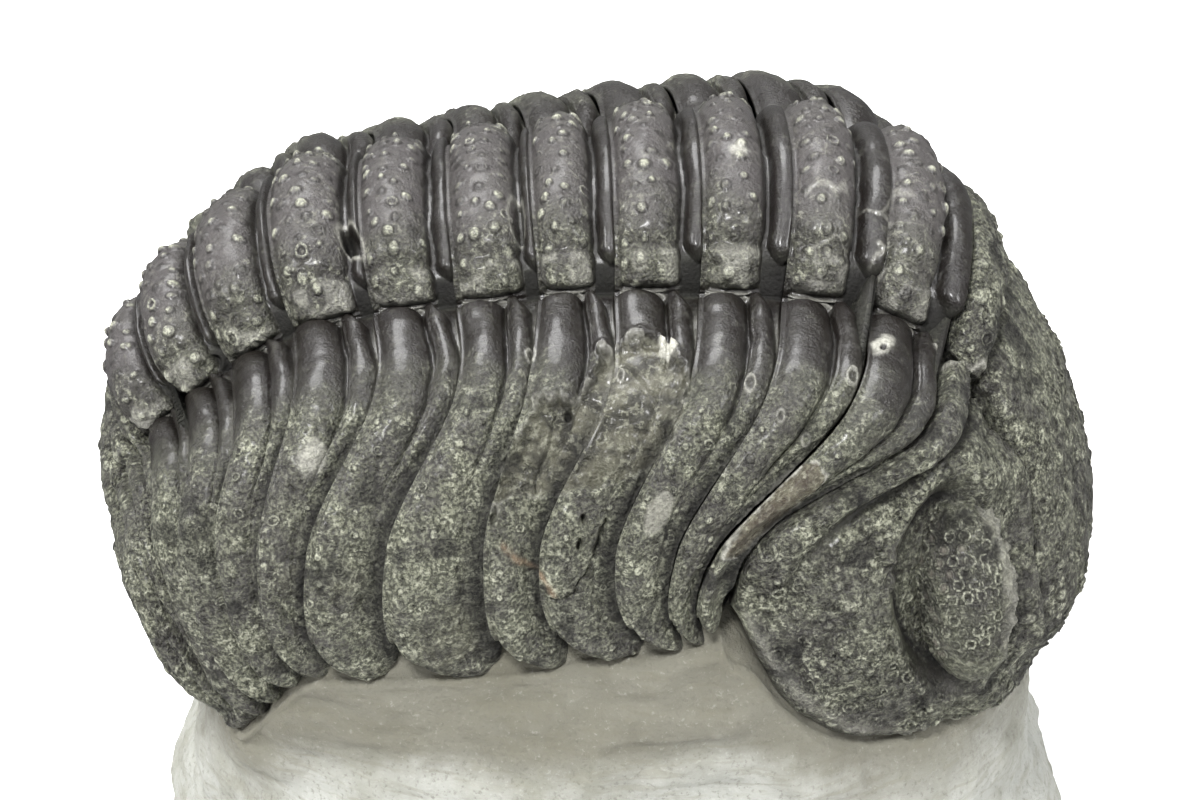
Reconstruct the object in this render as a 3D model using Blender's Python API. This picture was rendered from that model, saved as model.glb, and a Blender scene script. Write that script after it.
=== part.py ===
"""A Morocops trilobite, half rolled up, on the limestone it was found in.

Head towards +X, tail towards -X, legs' side down. The flat sawn base of the stone is z = 0.
The body is drawn first as one smooth skin, from guide lines that run from the front of the
head (s = -4) over the eleven body rings (s = 0 to 11) to the end of the tail (s = 13).
Every plate is then a closed shell between two cross lines of that skin, with its own relief.
"""
import math

import bmesh
import bpy
import numpy as np
from mathutils import Vector
from mathutils.bvhtree import BVHTree

MM = 0.001

# Driving sizes, in millimetres
RINGS = 11
SEAM = 0.32             # open seam between two plates
BEDDING = 2.0           # from the back of a plate in to the stone that fills it
FILL_SHARE = 0.94       # how much of the hollow the stone's buried dome takes up
RIM_BEDDING = 0.5       # the same at the plates' lower rim, where the stone shows
SHELL = 1.3             # from the smooth skin in to the back of a plate
RING_RISE = 1.35        # how far a ring of the axis stands above the skin
HALF_RING_RISE = 0.80   # the smooth half ring in front of it
BAND_RISE = 0.90        # the thick rear band of a rib
RIM_RISE = 0.40         # the thin rear rim that laps over the next rib
BASE_DROP = 36.0        # from the furrow beside the axis at mid body down to the sawn base
MID_X = 0.25            # middle of the whole length, seen from the smooth skin's own zero
BASE_LENGTH = 46.0
BASE_WIDTH = 38.6
WAIST_LENGTH = 41.6
WAIST_WIDTH = 35.6
WAIST_HEIGHT = 6.0      # height of the stone's waist above the sawn base
UNDERCUT = 0.82         # from the plates' rim down to where the bare stone begins
STONE_ROUGH = 0.7       # how far lumps and hollows change the stone's side
STONE_LUMPS = ((2, 0.4, 0.11), (3, 2.1, -0.21), (5, 1.3, 0.33), (8, 4.0, -0.52))
STONE_HEART = (0.6, 0.0, -13.0)
STONE_SIDES = 38
EYE_LENGTH = 9.5
EYE_WIDTH = 4.6
EYE_HEIGHT = 6.4
EYE_ROOT = -0.13        # the eye is cut off flat inside the head, at this share of its height
EYE_CENTRE = (17.2, 13.5, -12.9)
EYE_TURN = (-24.0, 0.0, 14.0)   # degrees about X, Y and Z

# Where along a cross line (t = 0 on the midline, t = 1 at a rib's tip) the guide lines lie
T_FURROW, T_FULCRUM, T_FLANK = 0.29, 0.54, 0.75

# Guide lines of the smooth skin at chosen stations, in millimetres:
# s, crest (x, z), furrow (x, y, z), fulcrum (x, y, z), flank (x, y, z), tip (x, y, z)
GUIDES = np.array((
    (-4.0, 22.6, -22.2, 22.6, 0.0, -22.2, 22.6, 0.0, -22.2, 22.6, 0.0, -22.2, 22.6, 0.0, -22.2),
    (-3.5, 23.6, -20.4, 21.9, 6.8, -20.6, 21.0, 8.6, -20.9, 20.3, 9.6, -21.3, 19.4, 9.4, -22.0),
    (-3.0, 24.0, -17.6, 20.5, 9.8, -18.2, 18.9, 12.4, -18.0, 17.4, 13.4, -19.0, 16.5, 12.6, -21.6),
    (-2.0, 22.9, -11.2, 20.1, 8.8, -12.4, 18.1, 13.0, -11.2, 13.9, 16.6, -13.2, 12.3, 15.2, -21.2),
    (-1.0, 20.1, -5.0, 18.4, 6.9, -6.7, 17.1, 12.8, -6.2, 11.0, 17.2, -8.7, 8.4, 16.8, -17.8),
    (0.0, 17.8, -0.8, 16.4, 6.6, -3.8, 14.7, 14.2, -4.0, 7.5, 17.6, -6.9, 5.7, 17.6, -11.6),
    (1.0, 14.0, 2.3, 12.9, 6.6, -1.7, 11.4, 14.8, -2.0, 5.0, 17.9, -7.8, 4.9, 17.4, -13.5),
    (2.0, 9.4, 3.5, 8.8, 6.6, -0.8, 7.5, 14.8, -1.5, 3.2, 17.9, -7.6, 3.9, 17.4, -13.9),
    (3.0, 5.1, 3.6, 4.8, 6.5, -0.5, 3.8, 14.3, -1.5, 0.3, 17.8, -7.9, 2.7, 17.4, -14.2),
    (4.0, 0.8, 3.1, 0.7, 6.4, -0.4, 0.1, 13.9, -1.6, -3.3, 17.7, -7.7, -1.0, 17.3, -14.5),
    (5.0, -3.2, 2.5, -2.9, 6.2, -0.6, -3.7, 13.3, -1.8, -5.9, 17.5, -7.8, -4.0, 17.2, -15.3),
    (6.0, -7.3, 1.9, -6.9, 6.1, -1.1, -7.1, 12.8, -2.3, -10.5, 17.1, -8.0, -9.1, 16.9, -15.7),
    (7.0, -11.6, 1.4, -10.9, 5.8, -1.7, -11.0, 12.3, -2.7, -14.3, 16.6, -8.4, -12.9, 16.4, -16.0),
    (8.0, -15.9, 0.4, -14.7, 5.5, -2.8, -14.8, 11.7, -3.4, -16.6, 15.9, -8.9, -14.7, 15.7, -16.6),
    (9.0, -19.5, -2.1, -17.8, 5.1, -5.0, -17.6, 11.4, -5.3, -18.5, 14.8, -9.7, -15.8, 14.9, -18.0),
    (10.0, -22.2, -5.1, -20.2, 4.7, -7.2, -19.8, 10.3, -7.2, -20.1, 13.4, -10.4, -16.8, 14.0, -19.5),
    (11.0, -23.8, -8.4, -21.9, 4.3, -9.4, -21.6, 8.7, -9.3, -21.0, 11.4, -12.4, -17.4, 12.9, -20.9),
    (12.0, -24.2, -15.4, -23.8, 3.2, -15.3, -23.3, 7.4, -15.4, -21.8, 10.2, -17.8, -18.6, 11.2, -22.4),
    (12.5, -22.9, -19.6, -22.8, 2.0, -19.6, -22.5, 4.8, -19.8, -21.2, 6.8, -21.4, -19.3, 7.4, -23.0),
    (13.0, -20.4, -23.2, -20.4, 0.0, -23.2, -20.4, 0.0, -23.2, -20.4, 0.0, -23.2, -20.4, 0.0, -23.2),
))
S_HEAD, S_TAIL = -4.0, 13.0
TAIL_RINGS_PER_STATION = 4.2
CROSS_STOPS = np.array((0, 0.11, 0.20, 0.26, 0.29, 0.39, 0.51, 0.60, 0.68, 0.76, 0.86, 1.0))
TIP_HOOK = 4.0          # forward pull on the ribs' ends, which curls them like hooks

# Colour (linear red, green, blue) and roughness of each finish
SHELL_LOOK = ((0.095, 0.093, 0.080), 0.42)
STONE_LOOK = ((0.42, 0.41, 0.35), 0.88)


def curve_through(keys, values, at):
    """A smooth curve through values at keys, read at the places in at."""
    slope = np.gradient(values, keys, axis=0)
    at = np.clip(at, keys[0], keys[-1])
    k = np.clip(np.searchsorted(keys, at, side="right") - 1, 0, len(keys) - 2)
    step = (keys[k + 1] - keys[k])[:, None]
    f = (at - keys[k])[:, None] / step
    near, far = values[k], values[k + 1]
    return (near * (1 + 2 * f) * (1 - f) ** 2 + slope[k] * step * f * (1 - f) ** 2
            + far * f * f * (3 - 2 * f) - slope[k + 1] * step * f * f * (1 - f))


def skin(s, t):
    """Points of the smooth skin at stations s and signed places t (t < 0 is the -Y side)."""
    s, t = np.broadcast_arrays(np.atleast_1d(np.asarray(s, float)), np.asarray(t, float))
    g = curve_through(GUIDES[:, 0], GUIDES[:, 1:], s)
    crest = np.stack((g[:, 0], 0 * s, g[:, 1]), 1)
    furrow, fulcrum, flank, tip = (g[:, c:c + 3] for c in (2, 5, 8, 11))
    a = np.clip(np.abs(t) / T_FURROW, 0, 1)[:, None] * math.pi / 2
    foot = furrow * (1, 0, 1)
    axis = foot + (crest - foot) * np.cos(a) + (furrow - foot) * np.sin(a)
    stops = (T_FURROW, T_FULCRUM, T_FLANK, 1.0)
    line = (furrow, fulcrum, flank, tip)
    slopes = [(line[1] - line[0]) / (stops[1] - stops[0])]
    slopes += [(line[k + 1] - line[k - 1]) / (stops[k + 1] - stops[k - 1]) for k in (1, 2)]
    hook = TIP_HOOK * ease(s, -0.2, 0.8) * (1 - ease(s, 10.6, 11.4))
    slopes += [(line[3] - line[2] + np.stack((hook, 0 * s, 0 * s), 1)) / (stops[3] - stops[2])]
    rib = axis.copy()
    for k in range(3):
        span = stops[k + 1] - stops[k]
        f = np.clip((np.abs(t) - stops[k]) / span, 0, 1)[:, None]
        piece = (line[k] * (1 + 2 * f) * (1 - f) ** 2 + slopes[k] * span * f * (1 - f) ** 2
                 + line[k + 1] * f * f * (3 - 2 * f) - slopes[k + 1] * span * f * f * (1 - f))
        rib = np.where((np.abs(t) >= stops[k])[:, None], piece, rib)
    rib[:, 1] *= np.where(t < 0, -1, 1)
    return rib


def outward(s, t):
    """Unit normals of the smooth skin, pointing out of the body."""
    s = np.clip(s, S_HEAD + 0.12, S_TAIL - 0.12)
    t = np.clip(t, -0.985, 0.985)
    along = skin(s + 0.02, t) - skin(s - 0.02, t)
    across = skin(s, t + 0.012) - skin(s, t - 0.012)
    n = np.cross(across, along)
    return n / np.linalg.norm(n, axis=1)[:, None]


def pitch(s, t):
    """Millimetres of skin per station, square to the cross lines."""
    along = (skin(s + 0.1, t) - skin(s - 0.1, t)) / 0.2
    across = skin(s, t + 0.01) - skin(s, t - 0.01)
    across /= np.linalg.norm(across, axis=1)[:, None]
    return np.linalg.norm(along - across * np.sum(along * across, axis=1)[:, None], axis=1)


def hump(x, low, high, edge=2.0):
    """1 in the middle of low..high and 0 at its ends, flatter and steeper as edge grows."""
    w = np.clip(np.abs(2 * (x - low) / (high - low) - 1), 0, 1)
    return (1 - w ** edge) ** 0.6


def ease(x, low, high):
    """0 below low, 1 above high, and a smooth step between them."""
    f = np.clip((x - low) / (high - low), 0, 1)
    return f * f * (3 - 2 * f)


def thorax_relief(s, t):
    """Height of the body rings and ribs above the smooth skin."""
    u = s - np.clip(np.floor(s + 1e-9), 0, RINGS - 1)
    reach = np.abs(t)
    a = reach / T_FURROW
    size = 1 - 0.3 * ease(s, 8.0, 11.0)
    ring = RING_RISE * hump(u, 0.27, 1.04, 2.5) * (1 - 0.75 * ease(a, 0.90, 1.0))
    ring += 0.22 * hump(u, 0.25, 1.0) * hump(a, 0.74, 1.0)
    half = HALF_RING_RISE * hump(u, -0.16, 0.28) * (1 - ease(a, 0.62, 0.95))
    pit = -0.45 * ease(a, 0.60, 0.95) * (1 - ease(u, 0.20, 0.30))
    axis = np.where(u > 0.27, ring, half + pit)
    split = 0.30 + 0.02 * ease(reach, T_FURROW, T_FULCRUM)
    fused = ease(reach, 0.60, 0.74)
    band = BAND_RISE * hump(u, split, 1.06, 2.6)
    wedge = 0.50 * hump(u, -0.10, split, 2.4) * ease(reach, T_FURROW + 0.02, T_FULCRUM) - 0.12
    inner = np.where(u > split, band, wedge)
    shingle = -0.15 + (BAND_RISE + 0.10) * hump(u, -0.35, 1.12, 2.2)
    rim = RIM_RISE * ease(u, 0.94, 0.99)
    rib = inner * (1 - fused) + shingle * fused
    rib = np.maximum(rib, rim) * (1 - 0.55 * ease(reach, 0.93, 1.0))
    return size * np.where(reach < T_FURROW, axis, rib)


def head_relief(s, t):
    """Height of the glabella, neck ring, borders and cheeks above the smooth skin."""
    reach = np.abs(t)
    a = reach / T_FURROW
    neck_ring = 1.15 * hump(s, -0.72, 0.10, 2.6) * (1 - 0.7 * ease(a, 0.9, 1.0))
    glabella = 0.95 * hump(s, -4.3, -0.85, 3.0) * (1 - ease(a, 0.80, 1.0)) - 0.25 * ease(a, 0.86, 1)
    glabella = glabella * (1 - 0.7 * ease(-s, 2.6, 3.5))
    axis = np.where(s > -0.74, neck_ring, glabella)
    border = 0.80 * hump(s, -0.62, 0.12, 2.4) * (1 - ease(reach, 0.78, 0.95))
    furrow = -0.40 * hump(s, -0.95, -0.55) * (1 - ease(reach, 0.66, 0.85))
    cheek = 0.35 * ease(reach, 0.60, 0.80) * (1 - ease(reach, 0.90, 1.0)) * ease(-s, 0.3, 1.4)
    return np.where(reach < T_FURROW, axis, border + furrow + cheek)


def tail_relief(s, t):
    """Height of the tail's few rings and ribs above the smooth skin."""
    reach = np.abs(t)
    u = (s - RINGS) * TAIL_RINGS_PER_STATION
    fade = 1 - ease(s, 11.9, 12.7)
    u = u - np.floor(u)
    ring = (0.75 * hump(u, 0.1, 1.0, 2.4) - 0.1) * (1 - ease(reach / T_FURROW, 0.8, 1.0))
    rib = 0.55 * hump(u, 0.05, 1.0, 2.2) * (1 - ease(reach, 0.80, 0.95))
    return fade * np.where(reach < T_FURROW, ring, rib)


def both_sides(half):
    """Places from the -Y tip over the midline to the +Y tip."""
    return np.concatenate((-half[::-1], half[1:]))


def placed(points):
    """From the skin's own zero to the frame of the finished piece."""
    return (points + (-MID_X, 0.0, BASE_DROP)) * MM


def look(name, colour, roughness):
    material = bpy.data.materials.new(name)
    material.use_nodes = True
    shader = material.node_tree.nodes["Principled BSDF"]
    shader.inputs["Base Color"].default_value = (*colour, 1.0)
    shader.inputs["Roughness"].default_value = roughness
    shader.inputs["Metallic"].default_value = 0.0
    return material


def loft(name, sections, finish, end_cells=None):
    """One closed piece through a row of closed sections that all have as many points.

    end_cells splits the two end faces into cells, each a tuple of places in the section.
    """
    bm = bmesh.new()
    rows = [[bm.verts.new(p) for p in section] for section in sections]
    count = len(rows[0])
    for row, following in zip(rows, rows[1:]):
        for k in range(count):
            bm.faces.new((row[k], row[(k + 1) % count], following[(k + 1) % count], following[k]))
    for row in (rows[0], rows[-1]):
        for cell in end_cells or (range(count),):
            bm.faces.new([row[k] for k in cell])
    bmesh.ops.triangulate(bm, faces=bm.faces)
    bmesh.ops.recalc_face_normals(bm, faces=bm.faces)
    mesh = bpy.data.meshes.new(name)
    bm.to_mesh(mesh)
    bm.free()
    mesh.shade_smooth()
    mesh.set_sharp_from_angle(angle=math.radians(50))
    mesh.materials.append(look(name, *finish))
    piece = bpy.data.objects.new(name, mesh)
    fossil.objects.link(piece)
    return piece


def shell_section(s, t, relief, inner_s, inner_t):
    """Outer points with relief, then the back of the plate in the other direction."""
    front = skin(s, t) + outward(s, t) * relief(s, t)[:, None]
    back = skin(inner_s, inner_t) - outward(inner_s, inner_t) * SHELL
    return placed(np.vstack((front, back)))


def body_ring(number):
    """One thoracic plate: ring, half ring and both ribs, lofted from tip to tip."""
    u_front = np.array((0, 0.14, 0.265, 0.33, 0.60, 0.88, 0.95, 1.0))
    u_back = np.array((1.0, 0.5, 0.0))
    sections = []
    for t in both_sides(CROSS_STOPS):
        edges = np.array((number - 1.0, float(number)))
        gap = SEAM / 2 / pitch(edges, t)
        start, end = edges + gap * (1, -1)
        s, back = start + (end - start) * u_front, start + (end - start) * u_back
        sections.append(shell_section(s, t + 0 * s, thorax_relief, back, t + 0 * back))
    return loft(f"thoracic_segment_{number:02d}", sections, SHELL_LOOK)


def end_shield(name, stations, relief):
    """Head or tail shield, lofted from the seam beside the rings to its far margin."""
    t_front = both_sides(np.sort(np.concatenate((CROSS_STOPS, (0.155, 0.34, 0.81, 0.93)))))
    t_back = both_sides(CROSS_STOPS)[::-1]
    sections = []
    for s in stations:
        sections.append(shell_section(s + 0 * t_front, t_front, relief, s + 0 * t_back, t_back))
    kept = np.searchsorted(t_front, t_back[::-1])
    last = len(t_front) + len(t_back) - 1
    cells = [(*range(a, b + 1), last - k - 1, last - k)
             for k, (a, b) in enumerate(zip(kept, kept[1:]))]
    return loft(name, sections, SHELL_LOOK, cells)


def add_eye(head, side):
    """A tall kidney-shaped eye grown out of the cheek."""
    x, y, z = EYE_CENTRE
    bpy.ops.mesh.primitive_uv_sphere_add(segments=12, ring_count=8, radius=0.5)
    eye = bpy.context.object
    eye.name = "eye_shape"
    for vertex in eye.data.vertices:
        vertex.co.y = side * max(side * vertex.co.y, EYE_ROOT)
    eye.scale = (EYE_WIDTH * MM, EYE_HEIGHT * MM, EYE_LENGTH * MM)
    turn_x, turn_y, turn_z = (math.radians(v) for v in EYE_TURN)
    eye.rotation_euler = (-side * turn_x, turn_y, -side * turn_z)
    eye.location = placed(np.array((x, side * y, z)))
    for owner in list(eye.users_collection):
        owner.objects.unlink(eye)
    cutters.objects.link(eye)
    eye.hide_render = True
    eye.display_type = "WIRE"
    join = head.modifiers.new("eye", "BOOLEAN")
    join.operation = "UNION"
    join.object = eye


def stone_radius(angle, height, start):
    """How far the stone's rough side stands from its upright axis, in metres."""
    across, deep = math.cos(angle), math.sin(angle)
    low = height / (WAIST_HEIGHT * MM)
    flare = ease(np.array(1 - low), 0.0, 1.0)
    length = WAIST_LENGTH + (BASE_LENGTH - WAIST_LENGTH) * flare
    width = WAIST_WIDTH + (BASE_WIDTH - WAIST_WIDTH) * flare
    power = 2.6
    oval = ((abs(across) / length) ** power + (abs(deep) / width) ** power) ** (-1 / power)
    lumps = sum(math.sin(turns * angle + phase + rise * height / MM)
                for turns, phase, rise in STONE_LUMPS) / len(STONE_LUMPS)
    share = ease(np.array((start - height) / (4.5 * MM)), -0.25, 1.0)
    return (0.5 * oval + STONE_ROUGH * lumps * share) * MM


def stone():
    """The limestone: it fills the shell up to a seam, has a waist, and stands on a sawn base."""
    s_rows, t_rows = np.linspace(S_HEAD + 0.05, S_TAIL - 0.05, 90), np.linspace(-1, 1, 61)
    s, t = (grid.ravel() for grid in np.meshgrid(s_rows, t_rows, indexing="ij"))
    lining = placed(skin(s, t) - outward(s, t) * (SHELL + BEDDING))
    across = len(t_rows)
    quads = [(r * across + c, r * across + c + 1, (r + 1) * across + c + 1, (r + 1) * across + c)
             for r in range(len(s_rows) - 1) for c in range(across - 1)]
    tree = BVHTree.FromPolygons([tuple(p) for p in lining], quads)
    rim_s = np.linspace(S_HEAD + 0.1, S_TAIL - 0.1, 400)
    rim = placed(skin(rim_s, 1.0 + 0 * rim_s) - outward(rim_s, 1.0 + 0 * rim_s)
                 * (SHELL + RIM_BEDDING))
    heart = placed(np.array(STONE_HEART))
    rim_bearing = np.arctan2(rim[:, 1], rim[:, 0] - heart[0])
    order = np.argsort(rim_bearing)
    columns = []
    for angle in np.linspace(0, 2 * math.pi, STONE_SIDES, endpoint=False):
        bearing = abs((angle + math.pi) % (2 * math.pi) - math.pi)
        around = np.abs(bearing + np.linspace(-1.1, 1.1, 9) * 2 * math.pi / STONE_SIDES)
        around = math.pi - np.abs(math.pi - around)
        edges = np.array([np.interp(around, rim_bearing[order], rim[order, c]) for c in range(3)])
        reach = np.linalg.norm(edges[:2] - heart[:2, None], axis=0).min()
        edge = edges[:, np.argmin(edges[2])]
        out = np.array((math.cos(angle), math.sin(angle)))
        here = np.array([np.interp(bearing, rim_bearing[order], rim[order, c]) for c in range(3)])
        slope = math.atan2(here[2] - heart[2], np.linalg.norm(here[:2] - heart[:2]))
        column = []
        for climb in np.linspace(math.radians(82), slope + math.radians(7), 6):
            ray = Vector((*(out * math.cos(climb)), math.sin(climb)))
            hit = tree.ray_cast(Vector(heart), ray)[0]
            column.append(heart + (np.array(hit) - heart) * FILL_SHARE)
        under = edge[2] - UNDERCUT * MM
        column.append(np.array((*(heart[:2] + out * (reach - 0.1 * MM)), under)))
        levels = [under - 1.6 * MM] + [WAIST_HEIGHT * MM * k for k in (1.35, 0.8, 0.35, 0.0)]
        for height, share in zip(levels, (0.45, 1.0, 1.0, 1.0, 1.0)):
            radius = reach + (stone_radius(angle, height, under) - reach) * share
            column.append(np.array((*(out * radius), height)))
        columns.append(column)
    return loft("matrix", [list(ring) for ring in zip(*columns)], STONE_LOOK)


for old in list(bpy.data.objects):
    bpy.data.objects.remove(old)
fossil = bpy.data.collections.new("morocops_trilobite")
cutters = bpy.data.collections.new("cutters")
bpy.context.scene.collection.children.link(fossil)
bpy.context.scene.collection.children.link(cutters)

seam_share = SEAM / 2 / 4.0
head_stations = np.array((-3.93, -3.75, -3.5, -3.2, -2.9, -2.5, -2.1, -1.7, -1.35, -1.0, -0.78,
                          -0.66, -0.40, -0.14, -2.4 * seam_share))
tail_ring = 1 / TAIL_RINGS_PER_STATION
tail_stations = RINGS + np.array((1.5 * seam_share, 0.5 * tail_ring, tail_ring, 1.5 * tail_ring,
                                  2 * tail_ring, 2.5 * tail_ring, 3 * tail_ring, 0.95, 1.2, 1.45,
                                  1.7, 1.93))
cephalon = end_shield("cephalon", head_stations, head_relief)
for eye_side in (-1, 1):
    add_eye(cephalon, eye_side)
for ring_number in range(1, RINGS + 1):
    body_ring(ring_number)
end_shield("pygidium", tail_stations, tail_relief)
stone()
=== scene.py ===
"""A Morocops trilobite, half rolled up, on the limestone it was found in.

Head towards +X, tail towards -X, the sawn base of the stone at z = 0.
Every plate is drawn on one smooth skin over the body. A place on the skin is (s, t): s runs
from the front of the head (-4) over the eleven body rings (0 to 11) to the end of the tail (13),
and t runs from the rib tips on the -Y side (-1) over the midline (0) to the +Y side (1).
"""
import math

import bpy
import numpy as np
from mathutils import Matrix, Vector
from mathutils.kdtree import KDTree


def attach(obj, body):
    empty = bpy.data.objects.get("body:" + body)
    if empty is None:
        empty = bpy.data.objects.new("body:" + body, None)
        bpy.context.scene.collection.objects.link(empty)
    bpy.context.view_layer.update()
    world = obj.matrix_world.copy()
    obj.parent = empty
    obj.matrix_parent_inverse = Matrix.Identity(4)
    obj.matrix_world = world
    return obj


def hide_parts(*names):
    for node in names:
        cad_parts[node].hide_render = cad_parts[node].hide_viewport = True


MM = 0.001
SAME_PLACE = 0.000002   # points nearer than this are one, in metres

# Driving sizes, in millimetres
RINGS = 11
SHELL = 1.3             # from the smooth skin in to the back of a plate
RING_RISE = 1.42        # how far a ring of the axis stands above the skin
HALF_RING_RISE = 0.95   # the smooth half ring in front of it
BAND_RISE = 0.95        # the thick rear band of a rib
THIN = 0.05             # the least shell left where the relief runs deep
TIP_TURN = 0.95         # how far a rib's rounded end turns in
LAP = 0.05              # how far a plate's rear rim laps over the next, as a share of a ring
SKIN_WIDTH = 60.0       # along the skin from rib tip to rib tip
MESH_STEP = 0.078       # distance between the points of a plate's mesh
BASE_DROP = 36.0        # from the skin's own zero down to the sawn base
MID_X = 0.25            # from the skin's own zero to the middle of the finished piece
STONE_HEART = (0.6, 0.0, -13.0)

# Where along a cross line (t = 0 on the midline, t = 1 at a rib's tip) the guide lines lie
T_FURROW, T_FULCRUM, T_FLANK = 0.29, 0.54, 0.75
TIP_HOOK = 4.0
TAIL_RINGS_PER_STATION = 4.2

# Where each ring begins behind its half ring, as a share of the plate, from head to tail
RING_FRONT = (0.38, 0.37, 0.34, 0.29, 0.31, 0.23, 0.28, 0.23, 0.25, 0.25, 0.26)

# Guide lines of the smooth skin at chosen stations, in millimetres:
# s, crest (x, z), furrow (x, y, z), fulcrum (x, y, z), flank (x, y, z), tip (x, y, z)
GUIDES = np.array((
    (-4.0, 22.6, -22.2, 22.6, 0.0, -22.2, 22.6, 0.0, -22.2, 22.6, 0.0, -22.2, 22.6, 0.0, -22.2),
    (-3.5, 23.6, -20.4, 21.9, 6.8, -20.6, 21.0, 8.6, -20.9, 20.3, 9.6, -21.3, 19.4, 9.4, -22.0),
    (-3.0, 24.0, -17.6, 20.5, 9.8, -18.2, 18.9, 12.4, -18.0, 17.4, 13.4, -19.0, 16.5, 12.6, -21.6),
    (-2.0, 22.9, -11.2, 20.1, 8.8, -12.4, 18.1, 13.0, -11.2, 13.9, 16.6, -13.2, 12.3, 15.2, -21.2),
    (-1.0, 20.1, -5.0, 18.4, 6.9, -6.7, 17.1, 12.8, -6.2, 11.0, 17.2, -8.7, 8.4, 16.8, -17.8),
    (0.0, 17.8, -0.8, 16.4, 6.6, -3.8, 14.7, 14.2, -4.0, 7.5, 17.6, -6.9, 5.7, 17.6, -11.6),
    (1.0, 14.0, 2.3, 12.9, 6.6, -1.7, 11.4, 14.8, -2.0, 5.0, 17.9, -7.8, 4.9, 17.4, -13.5),
    (2.0, 9.4, 3.5, 8.8, 6.6, -0.8, 7.5, 14.8, -1.5, 3.2, 17.9, -7.6, 3.9, 17.4, -13.9),
    (3.0, 5.1, 3.6, 4.8, 6.5, -0.5, 3.8, 14.3, -1.5, 0.3, 17.8, -7.9, 2.7, 17.4, -14.2),
    (4.0, 0.8, 3.1, 0.7, 6.4, -0.4, 0.1, 13.9, -1.6, -3.3, 17.7, -7.7, -1.0, 17.3, -14.5),
    (5.0, -3.2, 2.5, -2.9, 6.2, -0.6, -3.7, 13.3, -1.8, -5.9, 17.5, -7.8, -4.0, 17.2, -15.3),
    (6.0, -7.3, 1.9, -6.9, 6.1, -1.1, -7.1, 12.8, -2.3, -10.5, 17.1, -8.0, -9.1, 16.9, -15.7),
    (7.0, -11.6, 1.4, -10.9, 5.8, -1.7, -11.0, 12.3, -2.7, -14.3, 16.6, -8.4, -12.9, 16.4, -16.0),
    (8.0, -15.9, 0.4, -14.7, 5.5, -2.8, -14.8, 11.7, -3.4, -16.6, 15.9, -8.9, -14.7, 15.7, -16.6),
    (9.0, -19.5, -2.1, -17.8, 5.1, -5.0, -17.6, 11.4, -5.3, -18.5, 14.8, -9.7, -15.8, 14.9, -18.0),
    (10.0, -22.2, -5.1, -20.2, 4.7, -7.2, -19.8, 10.3, -7.2, -20.1, 13.4, -10.4, -16.8, 14.0, -19.5),
    (11.0, -23.8, -8.4, -21.9, 4.3, -9.4, -21.6, 8.7, -9.3, -21.0, 11.4, -12.4, -17.4, 12.9, -20.9),
    (12.0, -24.2, -15.4, -23.8, 3.2, -15.3, -23.3, 7.4, -15.4, -21.8, 10.2, -17.8, -18.6, 11.2, -22.4),
    (12.5, -22.9, -19.6, -22.8, 2.0, -19.6, -22.5, 4.8, -19.8, -21.2, 6.8, -21.4, -19.3, 7.4, -23.0),
    (13.0, -20.4, -23.2, -20.4, 0.0, -23.2, -20.4, 0.0, -23.2, -20.4, 0.0, -23.2, -20.4, 0.0, -23.2),
))
S_HEAD, S_TAIL = -4.0, 13.0

# The photograph's camera, in degrees, millimetres and pixels of a 1200 by 800 frame
CAM_ELEVATION = 33.0
CAM_YAW = 2.0
CAM_DISTANCE = 330.0
CAM_FOCUS = 6600.0
CAM_TARGET = (0.0, 0.0, -10.7)


def curve_through(keys, values, at):
    """A smooth curve through values at keys, read at the places in at."""
    slope = np.gradient(values, keys, axis=0)
    at = np.clip(at, keys[0], keys[-1])
    k = np.clip(np.searchsorted(keys, at, side="right") - 1, 0, len(keys) - 2)
    step = (keys[k + 1] - keys[k])[:, None]
    f = (at - keys[k])[:, None] / step
    near, far = values[k], values[k + 1]
    return (near * (1 + 2 * f) * (1 - f) ** 2 + slope[k] * step * f * (1 - f) ** 2
            + far * f * f * (3 - 2 * f) - slope[k + 1] * step * f * f * (1 - f))


def ease(x, low, high):
    """0 below low, 1 above high, and a smooth step between them."""
    f = np.clip((x - low) / (high - low), 0, 1)
    return f * f * (3 - 2 * f)


def hump(x, low, high, edge=2.0):
    """1 in the middle of low..high and 0 at its ends, flatter and steeper as edge grows."""
    w = np.clip(np.abs(2 * (x - low) / (high - low) - 1), 0, 1)
    return (1 - w ** edge) ** 0.6


def bell(x, middle, width):
    """1 at middle, and falling off smoothly within about width on both sides."""
    return np.exp(-((x - middle) / width) ** 2)


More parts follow.
